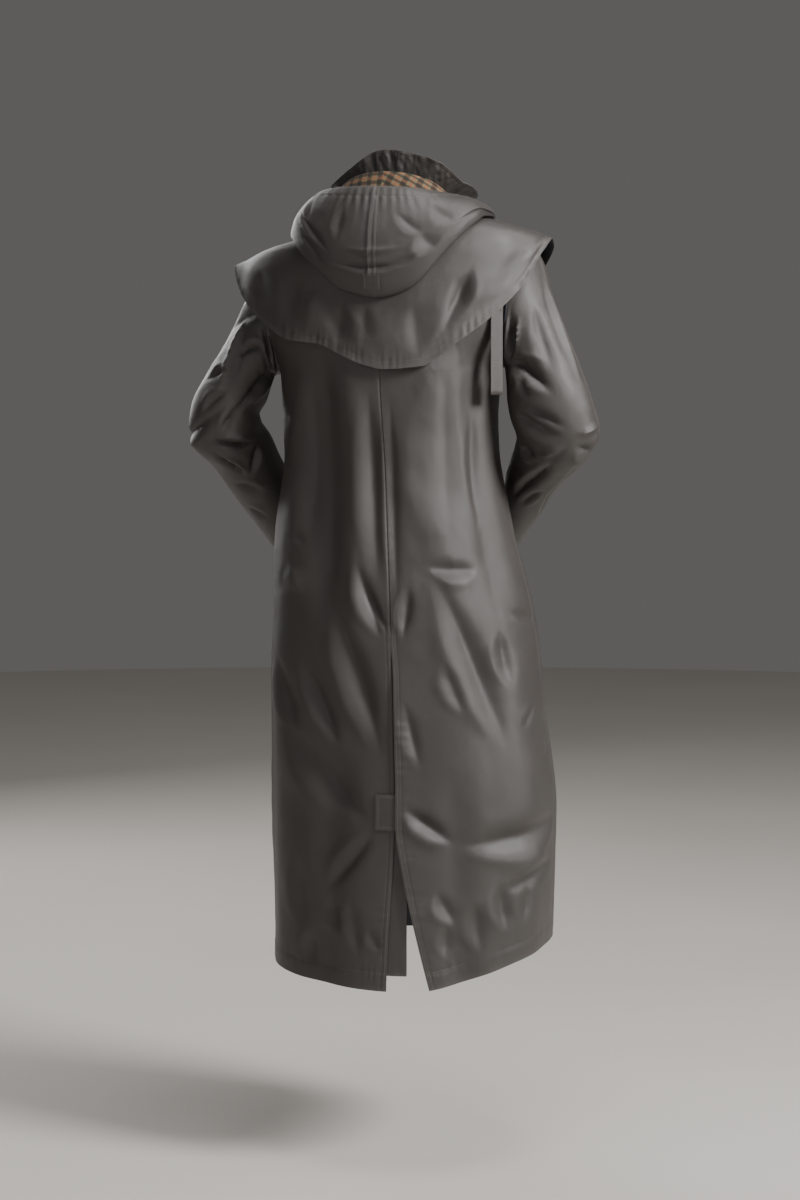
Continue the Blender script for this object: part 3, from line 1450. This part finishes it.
@dataclass(frozen=True)
class Cut:
    """How a cloth is cut and held: its flat size and area in metres, and what it rests on."""

    flat: tuple[float, float]
    held: str
    rests_on: Sequence[str]
    area: float | None = None

    def lay(self, cloth: Cloth, finishes: Sequence[bpy.types.Material], node: str = "") -> None:
        """Makes a cloth, settles it and declares its sheet.

        Args:
            cloth: The cloth.
            finishes: The materials of its two faces.
            node: The node that it stands for, if not the one of its own name.
        """
        piece = cloth.build(finishes)
        settle(piece, node or cloth.name)
        log.info("%s: %d quads", cloth.name, len(piece.data.polygons))


BODY_STEPS = (-0.6, 0.03)
CAPE_STEPS = (0.6, 0.01)
HOOD_STEPS = (-0.6, 0.012)
coat_face = raised(body_point, body_relief, *BODY_STEPS)
left_back_face = raised(body_point, vented(vent_left, 1, 42), *BODY_STEPS)
right_back_face = raised(right_back_point, vented(vent_right, -1, 43), *BODY_STEPS)
cape_face = raised(cape_point, cape_relief, *CAPE_STEPS)
hood_face = raised(hood_point, hood_relief, *HOOD_STEPS)


@dataclass
class Body:
    """The coat's four panels."""

    back_columns: int = 104
    front_columns: int = 72
    skirt_step: float = 4.6
    armhole_rows: int = 36
    shoulder_rows: int = 16
    crowd: float = 0.55

    def rows(self) -> Array:
        """Rows from hem to neck, even in height to the underarm and crowded beside the armhole.

        Returns:
            The rows.
        """
        low, high = float(BODY.at("backZ", np.array(0.0))), float(BODY.at("backZ", np.array(UNDERARM)))
        heights = np.linspace(low, high, int((high - low) / self.skirt_step))
        share = (1 - np.cos(np.linspace(0, np.pi, self.armhole_rows + 1)[1:])) / 2
        top = np.linspace(SHOULDER, NECK, self.shoulder_rows + 1)[1:]
        return np.concatenate([row_at(heights), UNDERARM + (SHOULDER - UNDERARM) * share, top])

    def build(self, wardrobe: Wardrobe, thread: Stitching) -> None:
        """Cuts and dresses the panels, and sews the hem, the seams and the vent's edges.

        Args:
            wardrobe: The materials.
            thread: The stitching.
        """
        rows = self.rows()
        z = BODY.at("backZ", rows)
        back, front = side_edge(rows, ARMHOLE_BACK), side_edge(rows, ARMHOLE_FRONT)
        straight = np.full(rows.shape, 180.0)
        # Name, face, first edge, last edge, columns, flat size, area.
        panels = (
            ("back_left", left_back_face, vent_left(z), back, self.back_columns, (0.4, 1.27), 0.36),
            ("back_right", right_back_face, -back, vent_right(z), self.back_columns, (0.4, 1.27), 0.335),
            ("front_left", coat_face, 180 - front, straight, self.front_columns, (0.38, 1.22), 0.34),
            ("front_right", coat_face, -straight, front - 180, self.front_columns, (0.38, 1.22), 0.32),
        )
        for name, face, start, end, columns, flat, area in panels:
            cloth = Cloth(name, face, *spaced(start, end, rows, columns, self.crowd), -1)
            Cut(flat, "hung", ["cape_back"], area).lay(cloth, wardrobe.pair())
        self._sew(thread)

    def _sew(self, thread: Stitching) -> None:
        """Rows of stitches: hem, vent edges, centre back.

        Args:
            thread: The stitching.
        """
        angle = np.linspace(-178, 178, 1400)
        for face, chosen in ((left_back_face, (angle > 4) & (angle < 90)), (coat_face, np.abs(angle) > 90),
                             (right_back_face, (angle < -18) & (angle > -90))):
            for part in np.split(angle[chosen], np.where(np.diff(angle[chosen]) > 1)[0] + 1):
                foot = section_point(BODY, part, np.zeros_like(part))[..., 2]
                slope = section_point(BODY, part, np.full_like(part, 0.5))[..., 2] - foot
                thread.along(face, part, HEM_DEPTH / slope * 0.5, BODY_STEPS)
        z = np.linspace(-1240, -320, 700)
        row = row_at(z)
        below = z < VENT_TOP - 6
        for off in (3.0, 8.0):
            left = vent_left(z) + off / DEGREE_MM
            right = vent_right(z) - off / DEGREE_MM
            thread.along(left_back_face, left[below], row[below], BODY_STEPS)
            thread.along(right_back_face, right[below], row[below], BODY_STEPS)
        thread.along(right_back_face, -2.6 / DEGREE_MM + 0 * z[~below], row[~below], BODY_STEPS)


@dataclass
class Sleeves:
    """Both sleeves, set into the armholes and bent at the elbows."""

    columns: int = 60
    rows: int = 190

    def build(self, wardrobe: Wardrobe, thread: Stitching) -> None:
        """Makes each sleeve of a back and a front half, and sews its cuff.

        Args:
            wardrobe: The materials.
            thread: The stitching.
        """
        along = np.linspace(0, 1, self.rows)
        for name, side, rings, creases, seed, area in (
            ("sleeve_left", 1, LEFT_RINGS, LEFT_SLEEVE_CREASES, 71, 0.165),
            ("sleeve_right", -1, RIGHT_RINGS, RIGHT_SLEEVE_CREASES, 81, 0.185),
        ):
            steps = (side * 0.012, 0.012)
            face = raised(sleeve_surface(side, rings), sleeve_relief(creases, seed), *steps)
            for half, start in (("back", 0.0), ("front", 0.5)):
                grid = spaced(start, start + 0.5, along, self.columns, 0.4)
                cloth = Cloth(f"{name}_{half}", face, *grid, side)
                Cut((0.21, 0.6), "hung", ["back_left"], area / 2).lay(cloth, wardrobe.pair())
            turn = np.linspace(0, 1, 260)
            cuff = np.full(turn.shape, 1 - CUFF_DEPTH / SLEEVE_LENGTH)
            thread.along(face, turn, cuff, steps)


@dataclass
class Cape:
    """The cape's back and its two fronts."""

    back_columns: int = 210
    front_columns: int = 90
    rows: int = 84
    seam_angle: float = 90.75

    def build(self, wardrobe: Wardrobe, thread: Stitching) -> None:
        """Makes the three pieces and sews the hem and the seams.

        Args:
            wardrobe: The materials.
            thread: The stitching.
        """
        along = np.linspace(0, 1, self.rows)
        along = along + 0.25 * np.sin(np.pi * along) / np.pi
        along = along / along[-1]
        edge = cape_front_edge(along)
        for name, start, end, columns, flat, area in (
            ("cape_back", -90.0, 90.0, self.back_columns, (0.64, 0.33), 0.13),
            ("cape_front_left", 90.0, edge, self.front_columns, (0.3, 0.28), 0.044),
            ("cape_front_right", -edge, -90.0, self.front_columns, (0.3, 0.28), 0.044),
        ):
            cloth = Cloth(name, cape_face, *spaced(start, end, along, columns, 0.2), 1)
            Cut(flat, "draped", ["back_left", "back_right"], area).lay(cloth, wardrobe.pair())
        angle = np.linspace(-160, 160, 1300)
        hem = np.full(angle.shape, 1 - CAPE_HEM_DEPTH / CAPE_LENGTH)
        thread.along(cape_face, angle, hem, CAPE_STEPS)
        for sign in (-1, 1):
            down = np.linspace(0.35, 0.985, 160)
            thread.along(cape_face, sign * self.seam_angle + 0 * down, down, CAPE_STEPS)


@dataclass
class Hood:
    """The hood as it hangs: two halves, the checked lining, the strip and the patch."""

    columns: int = 112
    rows: int = 150
    lining_reach: float = 92.5
    lining_foot: float = 0.375
    lining_wall: float = 0.9
    strip_half: float = 5.5
    patch_half: float = 11.0
    seam_degree_mm: float = 2.35

    def trim(self, name: str, half: float, start: float, end: float, lift: float,
             wardrobe: Wardrobe, thread: Stitching) -> None:
        """A band on the hood's centre seam, sewn down both long edges.

        Args:
            name: Its node.
            half: Half its width.
            start: Where it starts along the hood.
            end: Where it ends.
            lift: How far its face stands off.
            wardrobe: The materials.
            thread: The stitching.
        """
        along = np.linspace(start, end, 60)
        turn = half / self.seam_degree_mm
        cloth = Cloth(name, hood_face, *spaced(-turn, turn, along, 12, 0.3), -1, lift=lift)
        flat = (2 * half * MM, (end - start) * HOOD_LENGTH * MM)
        Cut(flat, "laid", ["hood_left", "hood_right"]).lay(cloth, wardrobe.pair(inner=Finish.CLOTH))
        for sign in (-1, 1):
            thread.along(hood_face, sign * (turn - 0.7) + 0 * along, along, HOOD_STEPS, lift)

    def build(self, wardrobe: Wardrobe, thread: Stitching) -> None:
        """Makes the halves, the lining's two bias halves and the trims, and sews the casing.

        Args:
            wardrobe: The materials.
            thread: The stitching.
        """
        along = np.linspace(0, 1, self.rows)
        for name, start, end in (("hood_left", 0.0, HOOD_REACH), ("hood_right", -HOOD_REACH, 0.0)):
            cloth = Cloth(name, hood_face, *spaced(start, end, along, self.columns, 0.3), -1)
            Cut((0.28, 0.42), "gathered", ["cape_back"], 0.071).lay(cloth, wardrobe.pair())
        down = np.linspace(0, self.lining_foot, 50)
        check = wardrobe.pair(Finish.CHECK, Finish.CHECK)
        for name, start, end, bias in (
            ("hood_lining_left", 0.0, self.lining_reach, 0.0),
            ("hood_lining_right", -self.lining_reach, 0.0, 45.0),
        ):
            cloth = Cloth(name, hood_face, *spaced(start, end, down, 90, 0.2), -1, wall=self.lining_wall,
                          lift=-CLOTH - 0.4, bias=bias)
            cut = Cut((0.2, 0.15), "gathered", ["hood_left"], 0.0235)
            cut.lay(cloth, check, "hood_lining")
        self.trim("hood_strip", self.strip_half, 0.505, 0.985, 2.0, wardrobe, thread)
        self.trim("hood_patch", self.patch_half, 0.49, 0.555, 3.4, wardrobe, thread)
        angle = np.linspace(-100, 100, 900)
        thread.along(hood_face, angle, np.full(angle.shape, 1 - CASING_DEPTH / HOOD_LENGTH), HOOD_STEPS)


@dataclass
class Collar:
    """The high collar, crumpled where it stands open."""

    columns: int = 260
    rows: int = 40
    wall: float = 1.8

    @staticmethod
    def relief(angle: Array, up: Array) -> Array:
        """Upright crumples, the edge's sewn line and the rolled edge.

        Args:
            angle: Degrees from the centre back toward the wearer's left.
            up: Share of the way up the collar.

        Returns:
            Millimetres of relief.
        """
        run, rise = angle * 1.9, up * COLLAR.at("height", angle)
        left = COLLAR.at("height", angle) - rise
        wave = 1.6 * drift(run, rise * 0.5, 17, 91) + 0.8 * drift(run, rise, 8, 92)
        return wave * smooth(up * 2) + COLLAR_LINE.relief(run, left - COLLAR_LINE_OFF, 93)

    def build(self, wardrobe: Wardrobe, thread: Stitching) -> None:
        """Makes the collar and sews its edge.

        Args:
            wardrobe: The materials.
            thread: The stitching.
        """
        a, b = np.meshgrid(np.linspace(-150, 150, self.columns), np.linspace(0, 1, self.rows))
        steps = (-0.6, 0.02)
        face = raised(collar_point, self.relief, *steps)
        cut = Cut((0.6, 0.08), "folded", ["back_left", "back_right"], 0.032)
        cut.lay(Cloth("collar", face, a, b, -1, wall=self.wall), wardrobe.pair())
        angle = np.linspace(-147, 147, 900)
        thread.along(face, angle, 1 - COLLAR_LINE_OFF / COLLAR.at("height", angle), steps)


@dataclass
class Vent:
    """The underlap behind the vent, and the storm tab that holds it shut."""

    underlap: tuple = (-6.2, 9.0)
    tab_tuck: float = 11.0
    tab_reach: float = 29.0
    tab_degree_mm: float = 3.25
    tab_lift: float = 1.9
    tab_inset: float = 4.0

    def build(self, wardrobe: Wardrobe, thread: Stitching) -> None:
        """Makes both pieces from the coat's own points and sews the tab's box.

        Args:
            wardrobe: The materials.
            thread: The stitching.
        """
        rows = row_at(np.linspace(-1238, VENT_TOP - 8, 170))
        cloth = Cloth("vent_underlap", coat_face, *spaced(*self.underlap, rows, 20, 0.2), -1, lift=-2.6)
        Cut((0.055, 0.52), "hung", ["back_left"]).lay(cloth, wardrobe.pair())
        low, high = row_at(np.array([TAB_FOOT, TAB_TOP]))
        rows = np.linspace(low, high, 34)
        near, far = -self.tab_tuck / self.tab_degree_mm, self.tab_reach / self.tab_degree_mm
        grid = spaced(near, far, rows, 26, 0.3)
        tab = Cloth("vent_tab", self.tab_face, *grid, -1, wall=1.3, lift=self.tab_lift)
        Cut((0.04, 0.055), "laid", ["back_left"]).lay(tab, wardrobe.pair(inner=Finish.CLOTH))
        inset = self.tab_inset / self.tab_degree_mm
        drop = self.tab_inset * (high - low) / (TAB_TOP - TAB_FOOT)
        left, right = far - inset, max(near + inset, -0.2)
        line = np.linspace(0, 1, 30)
        for start, end in (
            ((left, low + drop), (left, high - drop)), ((right, low + drop), (right, high - drop)),
            ((right, low + drop), (left, low + drop)), ((right, high - drop), (left, high - drop)),
        ):
            angle = start[0] + (end[0] - start[0]) * line
            row = start[1] + (end[1] - start[1]) * line
            thread.along(self.tab_face, angle, row, BODY_STEPS, self.tab_lift)

    @staticmethod
    def tab_face(angle: Array, row: Array) -> Array:
        """The plain coat under the tab, a little domed between its stitched sides."""
        return body_point(angle, row) + polar(angle, 0.6 * bell((angle - 3) / 4), 0.0)


@dataclass
class Fly:
    """The front fly over the centre front, with its press studs."""

    half: float = 31.0
    lift: float = 2.2
    inset: float = 5.0
    stud_radius: float = 7.5

    def build(self, wardrobe: Wardrobe, thread: Stitching) -> None:
        """Makes the fly from the coat's own points, sews its edges and sets the studs.

        Args:
            wardrobe: The materials.
            thread: The stitching.
        """
        rows = np.linspace(1.0, 10.7, 300)
        middle = np.full(rows.shape, 180.0)
        centre = np.linalg.norm(body_point(middle + 0.5, rows) - body_point(middle - 0.5, rows), axis=-1)
        turn = self.half / centre
        grid = spaced(180 - turn, 180 + turn, rows, 26, 0.3)
        cut = Cut((0.062, 0.98), "hung", ["front_left", "front_right"])
        cut.lay(Cloth("front_fly", self.face, *grid, -1, lift=self.lift), wardrobe.pair(inner=Finish.CLOTH))
        for sign in (-1, 1):
            thread.along(self.face, 180 + sign * (turn - self.inset / centre), rows, BODY_STEPS, self.lift)
        heights = row_at(np.linspace(-1040, -250, 6))
        for i, row in enumerate(heights):
            self.stud(f"fly_stud_{i + 1}", row, wardrobe)

    @staticmethod
    def face(angle: Array, row: Array) -> Array:
        """The coat's face, the same to both sides of the centre front."""
        return coat_face(np.where(angle > 180, angle - 360, angle), row)

    def stud(self, name: str, row: float, wardrobe: Wardrobe) -> None:
        """A press stud's cap: a rim, a groove and a dome, turned about the fly's normal.

        Args:
            name: Its node.
            row: Its place up the coat.
            wardrobe: The materials.
        """
        angle, place = np.array([180.0]), np.array([row])
        seat = body_point(angle, place)[0]
        normal = normals_of(body_point, angle, place, *BODY_STEPS)[0]
        side = np.cross(normal, (0, 0, 1.0))
        side /= np.linalg.norm(side)
        radius = np.array([0, 1, 1, 0.96, 0.88, 0.8, 0.72, 0.5, 0.25, 0.0]) * self.stud_radius
        height = np.array([0, 0, 1.2, 1.9, 2.1, 1.7, 1.8, 2.6, 2.95, 3.0]) + 3.0
        turn = np.linspace(0, 2 * np.pi, 28, endpoint=False)
        spoke = np.cos(turn)[:, None] * side + np.sin(turn)[:, None] * np.cross(normal, side)
        points = seat + radius[:, None, None] * spoke[None] + height[:, None, None] * normal
        index = np.arange(280).reshape(10, 28)
        across = np.roll(index, -1, axis=1)
        quads = np.stack([index[:-1], across[:-1], across[1:], index[1:]], axis=-1).reshape(-1, 4)
        mesh = bpy.data.meshes.new(name)
        mesh.from_pydata(points.reshape(-1, 3) * MM, [], quads.tolist())
        piece = new_object(name, mesh, [wardrobe.made[Finish.METAL]])
        work = bmesh.new()
        work.from_mesh(mesh)
        bmesh.ops.remove_doubles(work, verts=work.verts, dist=1e-6)
        bmesh.ops.recalc_face_normals(work, faces=work.faces)
        work.to_mesh(mesh)
        work.free()
        mesh.polygons.foreach_set("use_smooth", np.ones(len(mesh.polygons), dtype=bool))
        settle(piece, name)


@dataclass
class Pockets:
    """A slanted pocket welt on each front."""

    width: float = 30.0
    foot: float = -762.0
    top: float = -612.0
    foot_angle: float = 122.0
    top_angle: float = 139.0
    lift: float = 2.2
    inset: float = 3.0

    def build(self, wardrobe: Wardrobe, thread: Stitching) -> None:
        """Makes both welts from the coat's own points and sews them round.

        Args:
            wardrobe: The materials.
            thread: The stitching.
        """
        low, high = row_at(np.array([self.foot, self.top]))
        rows = np.linspace(low, high, 60)
        share = (rows - low) / (high - low)
        for name, front, side in (("pocket_left", "front_left", 1), ("pocket_right", "front_right", -1)):
            middle = side * (self.foot_angle + (self.top_angle - self.foot_angle) * share)
            span = np.linalg.norm(body_point(middle + 0.5, rows) - body_point(middle - 0.5, rows), axis=-1)
            turn = self.width / 2 / span
            grid = spaced(middle - turn, middle + turn, rows, 20, 0.3)
            cloth = Cloth(name, coat_face, *grid, -1, lift=self.lift)
            Cut((0.03, 0.155), "laid", [front]).lay(cloth, wardrobe.pair(inner=Finish.CLOTH))
            for sign in (-1, 1):
                edge = middle + sign * (turn - self.inset / span)
                thread.along(coat_face, edge, rows, BODY_STEPS, self.lift)


@dataclass
class StrapLoop:
    """The hanging loop under the cape on the wearer's right."""

    width: float = 20.0
    turn: float = 36.0
    wall: float = 1.4

    def build(self, wardrobe: Wardrobe, thread: Stitching) -> None:
        """Sweeps a flat band down and back up its route, and sews it across.

        Args:
            wardrobe: The materials.
            thread: The stitching.
        """
        route = np.array([
            (-181, 86, -212), (-181, 87, -250), (-181, 86, -310), (-181, 85, -336),
            (-180.5, 82.5, -340), (-180, 80, -336), (-180, 80.5, -310), (-180, 81, -306),
        ], float)
        run = np.concatenate([[0], np.cumsum(np.linalg.norm(np.diff(route, axis=0), axis=1))])
        place = np.linspace(0, run[-1], 90)
        path = np.stack([np.interp(place, run, route[:, k]) for k in range(3)], axis=1)
        wide = np.array([math.cos(math.radians(self.turn)), math.sin(math.radians(self.turn)), 0])
        reach = np.linspace(-self.width / 2, self.width / 2, 12)
        grid = path[:, None] + wide * reach[None, :, None]

        def face(a: Array, b: Array) -> Array:
            """The band by place in its grid."""
            return grid[b.astype(int), a.astype(int)]

        a, b = np.meshgrid(np.arange(12), np.arange(90))
        cloth = Cloth("strap_loop", face, a, b, 1, wall=self.wall, lift=self.wall / 2)
        cut = Cut((self.width * MM, run[-1] * MM), "hung", ["back_right"])
        cut.lay(cloth, wardrobe.pair(inner=Finish.CLOTH))
        normal = np.cross(wide, (0, 0, 1.0))
        normal = normal if normal[1] > 0 else -normal
        for z in (-291.0, -297.0):
            line = path[np.argmin(np.abs(path[:, 2] - z))] + wide * reach[1:-1, None]
            thread.row(line + normal * (self.wall / 2 + 0.1), np.broadcast_to(normal, line.shape))


def placed(across: Array, above: Array, back: Array, place: Array) -> Matrix:
    """A matrix of three axes and a place."""
    axes = np.stack([across, above, back], axis=1)
    return Matrix([(*row, p) for row, p in zip(axes, place)] + [(0, 0, 0, 1)])


@dataclass
class Studio:
    """A pale floor, soft lights and the camera behind the coat."""

    floor_z: float = -1.557
    floor_radius: float = 7.0
    floor_sides: int = 96
    sky: tuple = (0.82, 0.8, 0.78, 1)
    sky_strength: float = 0.14
    azimuth: float = 12.0
    distance: float = 4.2
    camera_z: float = -0.31
    tilt: float = 4.9
    shift: float = 0.0096
    lens: float = 78.75

    def build(self, wardrobe: Wardrobe) -> None:
        """Sets the floor, the lights, the world and the camera.

        Args:
            wardrobe: The materials.
        """
        turn = math.radians(self.azimuth)
        toward = np.array([-math.sin(turn), math.cos(turn), 0.0])
        right = np.array([-math.cos(turn), -math.sin(turn), 0.0])
        up = np.array([0.0, 0.0, 1.0])
        self._camera(toward, right)
        for name, place, size, power in (
            ("key", toward * 1.5 + right * 2.6 + up * 1.3, 1.1, 215.0),
            ("fill", toward * 2.8 - right * 1.2 + up * 0.2, 2.2, 14.0),
            ("top", toward * 0.5 + right * 0.4 + up * 2.2, 1.2, 36.0),
            ("front", toward * -2.6 - right * 1.6 + up * 0.6, 2.2, 55.0),
        ):
            self._light(name, place, size, power)
        world = bpy.data.worlds.new("studio")
        bpy.context.scene.world = world
        world.use_nodes = True
        background = world.node_tree.nodes["Background"]
        background.inputs[0].default_value = self.sky
        background.inputs[1].default_value = self.sky_strength
        angle = np.linspace(0, 2 * np.pi, self.floor_sides, endpoint=False)
        points = polar(np.degrees(angle), self.floor_radius, self.floor_z)
        mesh = bpy.data.meshes.new("floor")
        mesh.from_pydata(points[::-1], [], [list(range(self.floor_sides))])
        new_object("floor", mesh, [wardrobe.made[Finish.FLOOR]])

    def _camera(self, toward: Array, right: Array) -> None:
        """The camera: level with the chest, tilted down, moved a little to its right.

        Args:
            toward: Unit vector from the coat to the viewer.
            right: Unit vector to the viewer's right.
        """
        tilt = math.radians(self.tilt)
        place = toward * self.distance + right * self.shift + np.array([0, 0, self.camera_z])
        look = -toward * math.cos(tilt) - np.array([0, 0, math.sin(tilt)])
        data = bpy.data.cameras.new("camera")
        data.lens, data.sensor_width = self.lens, 36.0
        camera = bpy.data.objects.new("camera", data)
        bpy.context.scene.collection.objects.link(camera)
        above = np.cross(right, look)
        camera.matrix_world = placed(right, above, -look, place)
        bpy.context.scene.camera = camera

    @staticmethod
    def _light(name: str, place: Array, size: float, power: float) -> None:
        """A round soft light turned to the coat's middle.

        Args:
            name: Its name.
            place: Where it stands, in metres.
            size: Its diameter in metres.
            power: Its watts.
        """
        data = bpy.data.lights.new(name, "AREA")
        data.shape, data.size, data.energy = "DISK", size, power
        light = bpy.data.objects.new(name, data)
        bpy.context.scene.collection.objects.link(light)
        aim = np.array([0, 0, -0.6]) - place
        look = aim / np.linalg.norm(aim)
        side = np.cross(look, (0, 0, 1.0))
        side = side / np.linalg.norm(side)
        light.matrix_world = placed(side, np.cross(side, look), -look, place)


def main() -> None:
    """Builds the coat piece by piece, then its studio, and notes its size."""
    wardrobe, thread = Wardrobe(), Stitching()
    for part in (Body(), Sleeves(), Cape(), Hood(), Collar(), Vent(), Fly(), Pockets(), StrapLoop()):
        part.build(wardrobe, thread)
        log.info("%s is made", type(part).__name__)
    sewn = thread.build(wardrobe.made[Finish.THREAD])
    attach(sewn, "root")
    log.info("topstitching: %d stitches", sum(len(p) for p in thread.points))
    Studio().build(wardrobe)
    log.info("%d packed nodes are dressed", len(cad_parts))


if __name__ == "__main__":
    logging.basicConfig(level=logging.INFO, format="%(message)s")
    main()
